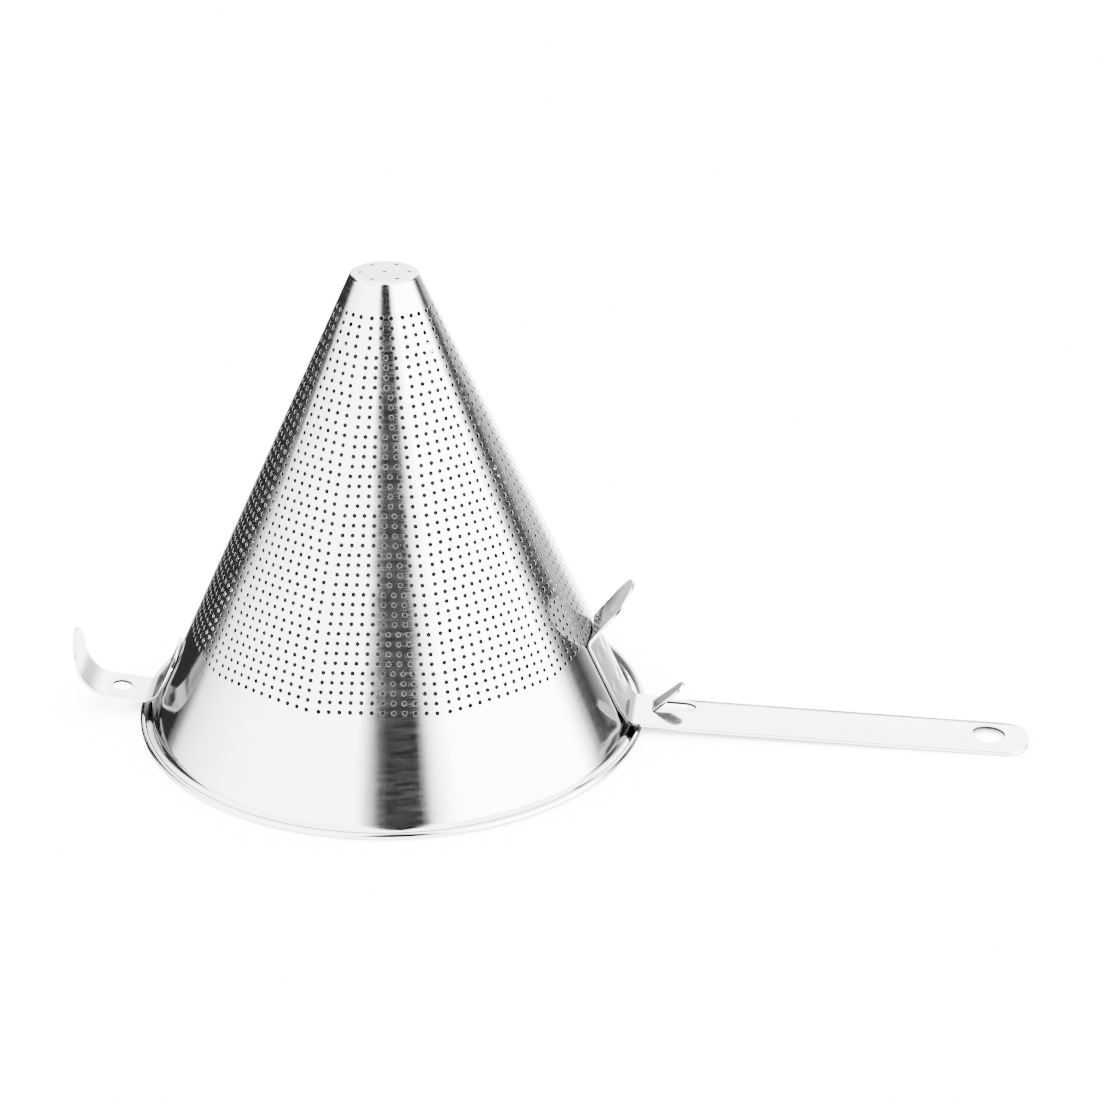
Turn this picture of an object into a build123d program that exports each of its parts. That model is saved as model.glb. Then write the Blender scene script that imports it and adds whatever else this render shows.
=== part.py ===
from build123d import *
import os
from math import asin, atan, atan2, cos, degrees, radians, sin, tan

# Chinois strainer, standing on its rim with the tip up, in millimetres and degrees.
# One sheet is drawn into a cone, perforated in ten sectors, flared at the foot and
# rolled over at the rim. A handle strap and a pot hook are spot-welded to its skirt.
# The origin is on the cone's axis, in the plane that the rim rests on.
# +Z runs to the tip and +X along the handle.

# Cone
rim_diameter = 240.0
cone_height = 217.2
tip_diameter = 30.2  # where the line of the wall meets the flat tip
flange_width = 6.0  # from the line of the wall to the rim's outside, in the resting plane
sheet_thickness = 0.7
tip_bend_radius = 2.0
flare_radius = 4.0
bead_diameter = 2.9
bead_wrap = 295.0
roll_flat_count = 6  # the roll's round outside is drawn as flats
roll_inside_flat_count = 3
bend_flat_count = 2

# Holes. The real sheet has 41 rows of 2 mm round holes, and up to 12 to a sector's row.
# Here the same field is drawn coarser, with larger holes that have square sides.
sector_count = 10
sector_start = 23.5
row_count = 6
rows_to_a_step = 2  # a sector's rows gain a hole every second row
hole_width = 4.0
collar_height = 13.9  # from the flat tip down to the first row
skirt_height = 47.5  # from the resting plane up to the last row
sector_gap_share = 0.22  # of a hole pitch, left plain between two sectors
tip_hole_diameter = 2.4
tip_hole_sides = 6
tip_hole_count = 6
tip_ring_start = 10.2
tip_ring_diameter = 21.6

# Straps, as both are cut from one stock
strap_thickness = 1.5
weld_seam = 0.3  # between a strap's plate and the wall, filled at the welds
weld_diameter = 6.0
weld_sides = 8  # a round weld is drawn with flat sides
weld_mark_diameter = 9.0
weld_mark_depth = 0.3

# Handle, with its weld plate, its flared tab and its lanced tongue
handle_width = 28.2
handle_length = 178.7  # beyond the rim's outside
handle_lift = 0.9  # over the rolled rim
handle_end_clearance = 0.1  # over the resting plane
handle_bend_radius = 5.0
handle_crown = 1.6
handle_corner_radius = 11.5
crown_run = 22.0  # in which the flat strap takes its crown
hang_hole_diameter = 15.0
hang_hole_from_end = 18.2
tab_fold_height = 45.0
tab_fold_radius = 1.6
tab_length = 31.8
tab_angle = 55.0
tongue_from_rim = 2.6
tongue_offset = 3.9  # to the left of the handle's middle
tongue_length = 20.4
tongue_root_width = 11.0
tongue_tip_width = 7.2
tongue_angle = 44.4
tongue_bend_radius = 1.2
slot_side_clearance = 0.2
slot_end_clearance = 0.8
handle_weld_spacing = 12.5
handle_weld_heights = (36.5, 20.5)

# Pot hook
hook_width = 22.0
hook_turn = 6.0  # the hook sits this far round from straight behind the handle
hook_lift = 3.0  # over the rolled rim
hook_slope = 9.0
hook_bend_radius = 6.0
hook_plate_height = 33.0
hook_arm_length = 22.4  # the straight stretch, from the line of the wall to the curl
hook_curl_radius = 15.1
hook_curl_angle = 75.0
hook_tip_length = 15.4
hook_hole_diameter = 9.3
hook_hole_from_rim = 9.4
hook_weld_heights = (26.0, 15.5)

# How far a cutter runs past what it cuts
overrun = 1.0

# The wall's line and the rolled rim, from the sizes above
rim_radius = rim_diameter / 2
foot_radius = rim_radius - flange_width
wall_run = (foot_radius - tip_diameter / 2) / cone_height
wall_angle = degrees(atan(wall_run))
wall_cos = cos(radians(wall_angle))
wall_sin = sin(radians(wall_angle))
bead_radius = bead_diameter / 2
bead_centre = rim_radius - bead_radius


def wall_point(height, standoff=0.0):
    """Point (radius, height) on a line beside the wall's outer face."""
    return (foot_radius - wall_run * height + standoff / wall_cos, height)


def step(point, length, angle):
    """Point that lies a length away, at an angle over the horizontal."""
    return (point[0] + length * cos(radians(angle)), point[1] + length * sin(radians(angle)))


def arc_points(centre, radius, start, sweep, flats):
    """Points along an arc, which is drawn as a few flats."""
    return [step(centre, radius, start + sweep * place / flats) for place in range(flats + 1)]


def cone_shell():
    """The drawn sheet before it is perforated, turned about the axis."""
    tip_centre = wall_point(cone_height - tip_bend_radius, -tip_bend_radius)
    flare_centre = wall_point(sheet_thickness + flare_radius, flare_radius)
    roll_centre = (bead_centre, bead_radius)
    tip_inside = tip_bend_radius - sheet_thickness
    flare_inside = flare_radius + sheet_thickness
    roll_inside = bead_radius - sheet_thickness
    roll_end = bead_wrap - 90
    section = [(0, cone_height)]
    section += arc_points(tip_centre, tip_bend_radius, 90, wall_angle - 90, bend_flat_count)
    section += arc_points(flare_centre, flare_radius, 180 + wall_angle, 90 - wall_angle, bend_flat_count)
    section += arc_points(roll_centre, roll_inside, -90, bead_wrap, roll_inside_flat_count)
    section += arc_points(roll_centre, bead_radius, roll_end, -bead_wrap, roll_flat_count)
    section += arc_points(flare_centre, flare_inside, 270, wall_angle - 90, bend_flat_count)
    section += arc_points(tip_centre, tip_inside, wall_angle, 90 - wall_angle, 1)
    section += [(0, cone_height - sheet_thickness)]
    return revolve(Plane.XZ * make_face(Polyline(*section, close=True)), Axis.Z)


def sector_rows():
    """Height, and the holes' turns off the sector's middle, of each row of a sector.

    A row lies on a straight line across the sector, as it does on the flat blank.
    """
    rows = []
    sector_angle = radians(360 / sector_count) * wall_sin
    top_height = cone_height - collar_height
    row_pitch = (top_height - skirt_height) / (row_count - 1)
    for row in range(row_count):
        radius, height = wall_point(top_height - row * row_pitch)
        slant = radius / wall_sin
        count = 1 + row // rows_to_a_step
        pitch = 2 * slant * tan(sector_angle / 2) / (count + sector_gap_share)
        for place in range(count):
            turn = atan2(pitch * (place - (count - 1) / 2), slant)
            drop = slant / cos(turn) - slant
            rows.append((height - drop * wall_cos, degrees(turn) / wall_sin))
    return rows


def hole_punch(height):
    """Cutter of one hole in the wall: its sides are two planes through the axis."""
    radius = wall_point(height)[0]
    side_view = Plane((radius, 0, height), x_dir=(wall_cos, 0, wall_sin), z_dir=(0, -1, 0))
    section = side_view * Rectangle(2 * (sheet_thickness + overrun), hole_width)
    width = degrees(hole_width / radius)
    return Rot(0, 0, -width / 2) * revolve(section, Axis.Z, width)


def hole_cutters():
    """Cutters of all the holes in the wall and in the tip."""
    cutters = []
    sector_angle = 360 / sector_count
    for height, turn in sector_rows():
        punch = hole_punch(height)
        for sector in range(sector_count):
            cutters.append(Rot(0, 0, sector_start + sector * sector_angle + turn) * punch)
    tip_hole = RegularPolygon(tip_hole_diameter / 2, tip_hole_sides)
    punch = Pos(0, 0, cone_height) * extrude(tip_hole, sheet_thickness + overrun, both=True)
    cutters.append(punch)
    for place in range(tip_hole_count):
        turn = tip_ring_start + place * 360 / tip_hole_count
        cutters.append(Rot(0, 0, turn) * Pos(tip_ring_diameter / 2, 0, 0) * punch)
    return cutters


def strainer_cone():
    """The perforated cone."""
    return cone_shell() - hole_cutters()


def bent_strap(points, radii, width):
    """A strap bent round the corners of its middle line, seen from the side."""
    side = trace(FilletPolyline(*points, radius=radii), strap_thickness)
    return extrude(Plane.XZ * side, width / 2, both=True)


def end_waste(end, angle, width, corner_radius):
    """What is cut off a strap's end to round its two corners.

    The end is given as (radius, height) and the angle at which the strap runs there.
    """
    side = corner_radius + overrun
    waste = Sketch()
    for hand in (1, -1):
        centre = Pos(-corner_radius, hand * (width / 2 - corner_radius))
        block = Pos(side / 2, hand * side / 2) * Rectangle(side, side)
        waste += centre * (block - Circle(corner_radius))
    along = (cos(radians(angle)), 0, sin(radians(angle)))
    across = (-sin(radians(angle)), 0, cos(radians(angle)))
    plane = Plane((end[0], 0, end[1]), x_dir=along, z_dir=across)
    return extrude(plane * waste, strap_thickness + handle_crown + overrun, both=True)


def wall_plane(height, standoff, across=0.0):
    """Plane beside the wall on the +X side, its Z axis square to the wall and outwards."""
    radius, level = wall_point(height, standoff)
    normal = (wall_cos, 0, wall_sin)
    return Plane((radius, across, level), x_dir=(0, 1, 0), z_dir=normal)


def weld_places(heights, spacing):
    """Height and side offset of each spot weld of a plate."""
    sides = (-spacing / 2, spacing / 2) if spacing else (0.0,)
    return [(height, side) for height in heights for side in sides]


def weld_marks(heights, spacing):
    """The shallow hollows that the electrodes press into a plate's outer face."""
    marks = []
    for height, side in weld_places(heights, spacing):
        face = wall_plane(height, weld_seam + strap_thickness, side)
        mark = RegularPolygon(weld_mark_diameter / 2, weld_sides)
        marks.append(extrude(face * mark, -weld_mark_depth))
    return marks


def weld_nuggets(heights, spacing):
    """The weld metal between a plate and the wall, one nugget to a weld."""
    standing = (Align.CENTER, Align.CENTER, Align.MIN)
    wall = Cone(foot_radius, tip_diameter / 2, cone_height, align=standing)
    nuggets = []
    for height, side in weld_places(heights, spacing):
        face = wall_plane(height, weld_seam, side)
        spot = RegularPolygon(weld_diameter / 2, weld_sides)
        nuggets.append(extrude(face * spot, -(weld_seam + overrun)) - wall)
    return nuggets


# The handle's run: it slopes from over the rim to its end, just over the resting plane
crown_drop_share = 2 / 3  # of the crown, by which its edges lie under the flat strap's
handle_over_rim = bead_diameter + handle_lift
handle_over_end = handle_end_clearance + handle_crown * crown_drop_share
handle_end_radius = rim_radius + handle_length
handle_slope = degrees(asin((handle_over_end - handle_over_rim) / (handle_end_radius - bead_centre)))
tongue_root = rim_radius + tongue_from_rim


def run_plane(radius):
    """Plane on the handle's underside: X along the handle, Z out of its top."""
    height = handle_over_rim + (radius - bead_centre) * tan(radians(handle_slope))
    along = (cos(radians(handle_slope)), 0, sin(radians(handle_slope)))
    upward = (-sin(radians(handle_slope)), 0, cos(radians(handle_slope)))
    return Plane((radius, 0, height), x_dir=along, z_dir=upward)


def run_section(radius, crown):
    """Cross-section of the handle, flat or crowned, square to its run."""
    run = run_plane(radius)
    half = handle_width / 2
    edge = -crown * crown_drop_share
    middle = edge + crown
    section = Plane(run.origin, x_dir=(0, 1, 0), z_dir=run.x_dir)
    top_edge = edge + strap_thickness
    top_middle = middle + strap_thickness
    if crown:
        under = ThreePointArc((-half, edge), (0, middle), (half, edge))
        over = ThreePointArc((half, top_edge), (0, top_middle), (-half, top_edge))
    else:
        under = Line((-half, edge), (half, edge))
        over = Line((half, top_edge), (-half, top_edge))
    sides = [Line(under @ 1, over @ 0), Line(over @ 1, under @ 0)]
    return section * make_face(Curve() + [under, over] + sides)


def corner(standoff, over_rim, angle):
    """Where the middle line beside the wall meets a strap's middle line over the rim."""
    rise = tan(radians(angle))
    start = wall_point(0, standoff)[0]
    height = (over_rim + rise * (start - bead_centre)) / (1 + rise * wall_run)
    return wall_point(height, standoff)


def tongue():
    """The lanced tongue, bent up out of the handle."""
    run = run_plane(tongue_root)
    middle = strap_thickness / 2
    bend = tongue_bend_radius + middle
    turn_point = (bend * tan(radians(tongue_angle / 2)), middle)
    tip = step(turn_point, tongue_length, tongue_angle)
    start = (-bend, middle)
    side = trace(FilletPolyline(start, turn_point, tip, radius=bend), strap_thickness)
    side_plane = Plane(run.origin, x_dir=run.x_dir, z_dir=(0, -1, 0))
    strip = extrude(side_plane * side, tongue_root_width / 2, both=True)
    tip_radius = tongue_tip_width / 2
    neck = tongue_length - tip_radius
    back = tongue_root_width
    outline = Polygon(
        (-back, -tongue_root_width / 2),
        (0, -tongue_root_width / 2),
        (neck, -tip_radius),
        (neck, tip_radius),
        (0, tongue_root_width / 2),
        (-back, tongue_root_width / 2),
        align=None,
    )
    outline += Pos(neck, 0) * Circle(tip_radius)
    root = run.from_local_coords(Vector(turn_point[0], 0, turn_point[1]))
    rise = radians(tongue_angle + handle_slope)
    tilted = Plane(root, x_dir=(cos(rise), 0, sin(rise)), z_dir=(-sin(rise), 0, cos(rise)))
    return strip & extrude(tilted * outline, tongue_length, both=True)


def slot_cutter():
    """The slot that the tongue leaves, square at its root and round at its far end."""
    width = tongue_root_width + 2 * slot_side_clearance
    length = tongue_length + slot_end_clearance
    straight = length - width / 2
    outline = Pos(straight / 2, 0) * Rectangle(straight, width) + Pos(straight, 0) * Circle(width / 2)
    return extrude(run_plane(tongue_root) * outline, strap_thickness + handle_crown + overrun, both=True)


def handle_strap():
    """Handle, weld plate, tab and tongue, all of one strap."""
    middle = strap_thickness / 2
    over_rim = handle_over_rim + middle
    fold = wall_point(tab_fold_height, weld_seam + middle)
    tab_end = step(fold, tab_length, tab_angle)
    bend = corner(weld_seam + middle, over_rim, handle_slope)
    flat_end = run_plane(tongue_root)
    flat_middle = flat_end.from_local_coords(Vector(0, 0, middle))
    points = [tab_end, fold, bend, (flat_middle.X, flat_middle.Z)]
    radii = [tab_fold_radius + middle, handle_bend_radius + middle]
    plate = bent_strap(points, radii, handle_width)
    crowned = run_section(tongue_root + crown_run, handle_crown)
    handle_end = run_plane(handle_end_radius)
    rest_of_run = (handle_end.origin - run_plane(tongue_root + crown_run).origin).length
    strap = plate + loft([run_section(tongue_root, 0), crowned])
    strap += extrude(crowned, rest_of_run, dir=flat_end.x_dir)
    strap -= Pos(0, tongue_offset) * slot_cutter()
    strap += Pos(0, tongue_offset) * tongue()
    end = (handle_end.origin.X, handle_end.origin.Z)
    strap -= end_waste(end, handle_slope, handle_width, handle_corner_radius)
    strap -= end_waste(tab_end, tab_angle, handle_width, handle_width / 2)
    hole = run_plane(handle_end_radius - hang_hole_from_end)
    hole_depth = strap_thickness + handle_crown + overrun
    strap -= extrude(hole * Circle(hang_hole_diameter / 2), hole_depth, both=True)
    return strap - weld_marks(handle_weld_heights, handle_weld_spacing)


def pot_hook():
    """The hook opposite the handle, made on the +X side and turned into its place."""
    middle = strap_thickness / 2
    over_rim = bead_diameter + hook_lift + middle
    top = wall_point(hook_plate_height, weld_seam + middle)
    bend = corner(weld_seam + middle, over_rim, hook_slope)
    curl = hook_curl_radius + middle
    curl_tangent = curl * tan(radians(hook_curl_angle / 2))
    curl_corner = step(bend, hook_arm_length + curl_tangent, hook_slope)
    tip_angle = hook_slope + hook_curl_angle
    tip = step(curl_corner, curl_tangent + hook_tip_length, tip_angle)
    hook = bent_strap([top, bend, curl_corner, tip], [hook_bend_radius + middle, curl], hook_width)
    hook -= end_waste(tip, tip_angle, hook_width, hook_width / 2)
    hook -= end_waste(top, 90 + wall_angle, hook_width, hook_width / 2)
    hole_radius = rim_radius + hook_hole_from_rim
    hole_height = over_rim + (hole_radius - bead_centre) * tan(radians(hook_slope))
    tilt = Rot(0, -hook_slope, 0)
    hole = Pos(hole_radius, 0, hole_height) * tilt * Cylinder(hook_hole_diameter / 2, hook_width)
    hook -= hole
    hook -= weld_marks(hook_weld_heights, 0)
    return hook_side() * hook


def hook_side():
    """Turn from the +X side to where the hook sits."""
    return Rot(0, 0, 180 + hook_turn)


def handle_spot_welds():
    """The handle's weld nuggets."""
    return Compound(children=weld_nuggets(handle_weld_heights, handle_weld_spacing))


def hook_spot_welds():
    """The hook's weld nuggets."""
    return Compound(children=[hook_side() * nugget for nugget in weld_nuggets(hook_weld_heights, 0)])


PIECES = {
    "strainer_cone": strainer_cone,
    "handle_strap": handle_strap,
    "pot_hook": pot_hook,
    "handle_spot_welds": handle_spot_welds,
    "hook_spot_welds": hook_spot_welds,
}


def main():
    """Write each piece to its own file."""
    os.makedirs("parts", exist_ok=True)
    for name, make in PIECES.items():
        export_step(make(), f"parts/{name}.step")


main()
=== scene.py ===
"""Chinois strainer, dressed: the perforated cone, its handle strap and its pot hook.

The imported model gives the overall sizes. Each strap is cut flat, like the real blank,
and then bent, and the sheet is spun and punched hole by hole. Lengths are in metres.
"""

from __future__ import annotations

import logging
import math
from dataclasses import dataclass, field
from enum import Enum

import bmesh
import bpy
import numpy as np
from bpy.types import NodeSocket, NodeTree, Object, bpy_prop_collection
from mathutils import Matrix, Quaternion, Vector

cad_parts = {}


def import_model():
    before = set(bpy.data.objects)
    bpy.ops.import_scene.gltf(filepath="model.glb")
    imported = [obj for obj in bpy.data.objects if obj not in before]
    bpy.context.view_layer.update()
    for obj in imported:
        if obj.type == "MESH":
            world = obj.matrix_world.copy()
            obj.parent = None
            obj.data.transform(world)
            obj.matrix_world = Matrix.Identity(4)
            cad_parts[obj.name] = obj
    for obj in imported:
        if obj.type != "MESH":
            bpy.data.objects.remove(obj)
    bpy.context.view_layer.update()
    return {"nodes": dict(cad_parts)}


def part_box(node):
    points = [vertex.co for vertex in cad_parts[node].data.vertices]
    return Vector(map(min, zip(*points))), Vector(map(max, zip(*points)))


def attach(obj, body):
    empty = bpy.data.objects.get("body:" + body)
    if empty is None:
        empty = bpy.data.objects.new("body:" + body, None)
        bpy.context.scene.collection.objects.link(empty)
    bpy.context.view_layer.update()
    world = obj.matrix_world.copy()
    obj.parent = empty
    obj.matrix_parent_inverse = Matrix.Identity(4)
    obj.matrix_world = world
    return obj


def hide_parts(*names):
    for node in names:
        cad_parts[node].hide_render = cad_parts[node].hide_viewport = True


LOG = logging.getLogger("chinois")
MM = 0.001
FLANGE_WIDTH = 6.0 * MM
TIP_RADIUS = 15.1 * MM
# Points this near to each other are taken for one, or for touching the same plane.
SAME_POINT = 0.001 * MM
TOUCHING = 0.01 * MM
# A corner's rounding stops this short of its neighbour's, so that no face collapses.
SHY = 0.005 * MM
Point = tuple[float, float]


class Part(str, Enum):
    """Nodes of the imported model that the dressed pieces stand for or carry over."""

    CONE = "strainer_cone"
    HANDLE = "handle_strap"
    HOOK = "pot_hook"
    HANDLE_WELDS = "handle_spot_welds"
    HOOK_WELDS = "hook_spot_welds"


class Grain(Enum):
    """Which way a part's grinding lines run."""

    ROUND = "in rings about the cone's axis"
    ALONG = "along the strap"


class Slot(str, Enum):
    """Names for the material slots, which this script does not use."""

    SHEET = "sheet"
    STRAP = "strap"
    WELD = "weld"


def linear(hex_colour: str) -> tuple[float, float, float, float]:
    """Turn an sRGB hex colour into linear values.

    Args:
        hex_colour: Six hex digits after a hash sign.

    Returns:
        Red, green, blue and an alpha of one.
    """
    channels = []
    for start in (1, 3, 5):
        value = int(hex_colour[start : start + 2], 16) / 255
        channels.append(value / 12.92 if value <= 0.04045 else ((value + 0.055) / 1.055) ** 2.4)
    return (channels[0], channels[1], channels[2], 1.0)


def make_only(obj: Object) -> None:
    """Make an object the active one and the only one selected.

    Args:
        obj: The object to work on.
    """
    bpy.ops.object.select_all(action="DESELECT")
    obj.select_set(True)
    bpy.context.view_layer.objects.active = obj


def apply_modifier(obj: Object, kind: str, **settings: object) -> None:
    """Add a modifier to an object and apply it.

    Args:
        obj: The object to finish.
        kind: The modifier's type.
        **settings: Values for the modifier's own properties.
    """
    make_only(obj)
    modifier = obj.modifiers.new(kind.title(), kind)
    for name, value in settings.items():
        setattr(modifier, name, value)
    bpy.ops.object.modifier_apply(modifier=modifier.name)


def mark_faces(obj: Object, marks: list[int]) -> None:
    """Give each face its place in the material list.

    Args:
        obj: The object, which gets the places.
        marks: For each face 0 for the skin, 1 for a sheared wall in painted shade or 2 for a rolled lip
            dimmed by painted shade.
    """
    while len(obj.data.materials) < 3:
        obj.data.materials.append(None)
    obj.data.polygons.foreach_set("material_index", marks)


def cut_away(obj: Object, cutter: Object, solver: str = "EXACT") -> None:
    """Take a cutter's shape out of an object, and the cutter away. Cut faces keep its marks."""
    apply_modifier(obj, "BOOLEAN", object=cutter, operation="DIFFERENCE", solver=solver)
    bpy.data.objects.remove(cutter)


def arc(centre: Point, radius: float, start: float, sweep: float, steps: int) -> list[Point]:
    """Place points along an arc in a side view, from one angle on, with angles in degrees."""
    angles = [math.radians(start + sweep * place / steps) for place in range(steps + 1)]
    return [(centre[0] + radius * math.cos(a), centre[1] + radius * math.sin(a)) for a in angles]


def step(point: Point, length: float, angle: float) -> Point:
    """Find the point that lies a length away, at an angle in degrees over the horizontal."""
    turn = math.radians(angle)
    return (point[0] + length * math.cos(turn), point[1] + length * math.sin(turn))


def ease(share: float) -> float:
    """Ease a share from 0 to 1, level at both ends."""
    held = min(max(share, 0.0), 1.0)
    return held * held * (3 - 2 * held)


def evenly(start: float, length: float, steps: int) -> list[float]:
    """Part a length from a start into even steps, with both of its ends."""
    return [start + length * place / steps for place in range(steps + 1)]


def read(items: bpy_prop_collection, name: str, width: int, kind: type) -> np.ndarray:
    """Read one property of all vertices, corners or faces of a mesh.

    Args:
        items: The vertices, corners or faces.
        name: The property's name.
        width: How many numbers each item has.
        kind: The numbers' type.

    Returns:
        One row for each item, or one number where the width is one.
    """
    values = np.empty(len(items) * width, dtype=kind)
    items.foreach_get(name, values)
    return values.reshape(-1, width) if width > 1 else values


@dataclass(frozen=True)
class Wall:
    """The straight line of the cone's outer face, seen from the side."""

    foot_radius: float
    tip_radius: float
    height: float

    @property
    def slope(self) -> float:
        """Return how much the radius shrinks for each unit of height."""
        return (self.foot_radius - self.tip_radius) / self.height

    @property
    def angle(self) -> float:
        """Return the half angle of the cone, in radians."""
        return math.atan(self.slope)

    def point(self, height: float, standoff: float = 0.0) -> Point:
        """Find the radius, at a height, of a line that stands off the wall."""
        return (self.foot_radius - self.slope * height + standoff / math.cos(self.angle), height)

    def seat(self, slant: float, azimuth: float) -> Matrix:
        """Give the place on the wall at a slant distance from the cone's apex.

        Args:
            slant: Distance from the apex along the wall.
            azimuth: Turn about the axis, in radians.

        Returns:
            A matrix with X along the rim, Y up the wall and Z outwards.
        """
        radius = slant * math.sin(self.angle)
        height = self.height + (self.tip_radius - radius) / self.slope
        cosine = math.cos(self.angle)
        outward = Vector((cosine * math.cos(azimuth), cosine * math.sin(azimuth), math.sin(self.angle)))
        around = Vector((-math.sin(azimuth), math.cos(azimuth), 0))
        seat = Matrix((around, outward.cross(around), outward)).transposed().to_4x4()
        seat.translation = (radius * math.cos(azimuth), radius * math.sin(azimuth), height)
        return seat


@dataclass
class PunchTool:
    """The round punch, whose die rolls the hole's outer edge over.

    Sizes are radii and depths of one hole in the wall.
    """

    mouth_radius: float = 1.15 * MM
    bore_radius: float = 1.05 * MM
    roll_depth: float = 0.1 * MM
    reach: float = 1.2 * MM
    sides: int = 8

    def build(self) -> Object:
        """Model the punch, with its mouth in its own XY plane.

        Returns:
            The punch as a closed mesh.
        """
        bpy.ops.object.select_all(action="DESELECT")
        bpy.ops.mesh.primitive_circle_add(
            vertices=self.sides, radius=self.bore_radius, fill_type="NGON", location=(0, 0, 0)
        )
        punch = bpy.context.object
        bpy.ops.object.mode_set(mode="EDIT")
        bpy.ops.mesh.select_all(action="SELECT")
        bpy.ops.transform.translate(value=(0, 0, -self.reach))
        lip = self.mouth_radius - self.bore_radius
        rises = ((self.reach - self.roll_depth, 0.0), (self.roll_depth, lip), (self.roll_depth, lip))
        radius, level = self.bore_radius, -self.reach
        for rise, growth in rises:
            bpy.ops.mesh.extrude_region_move(TRANSFORM_OT_translate={"value": (0, 0, rise)})
            level += rise
            scale = (radius + growth) / radius
            radius += growth
            bpy.ops.transform.resize(value=(scale, scale, 1), center_override=(0, 0, level))
        bpy.ops.mesh.select_all(action="SELECT")
        bpy.ops.mesh.normals_make_consistent(inside=False)
        bpy.ops.object.mode_set(mode="OBJECT")
        return punch

    def stamp(self, places: list[Matrix]) -> Object:
        """Set one copy of the punch at each place, all in one mesh.

        Args:
            places: Where each hole goes.

        Returns:
            The gang of punches.
        """
        punch = self.build()
        points = np.array([[*vertex.co, 1.0] for vertex in punch.data.vertices])
        faces = [list(polygon.vertices) for polygon in punch.data.polygons]
        # The torn bore is marked 1 for painted shade, and the rolled lip 2 for a sheen dimmed by painted
        # shade.
        marks = [1 if face.center.z < -self.roll_depth else 2 for face in punch.data.polygons]
        bpy.data.objects.remove(punch)
        stamped = np.concatenate([(points @ np.array(place).T)[:, :3] for place in places])
        gang_faces = [
            [index + copy * len(points) for index in face] for copy in range(len(places)) for face in faces
        ]
        mesh = bpy.data.meshes.new("punch_gang")
        mesh.from_pydata(stamped.tolist(), [], gang_faces)
        gang = bpy.data.objects.new("punch_gang", mesh)
        bpy.context.collection.objects.link(gang)
        mark_faces(gang, marks * len(places))
        return gang


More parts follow.
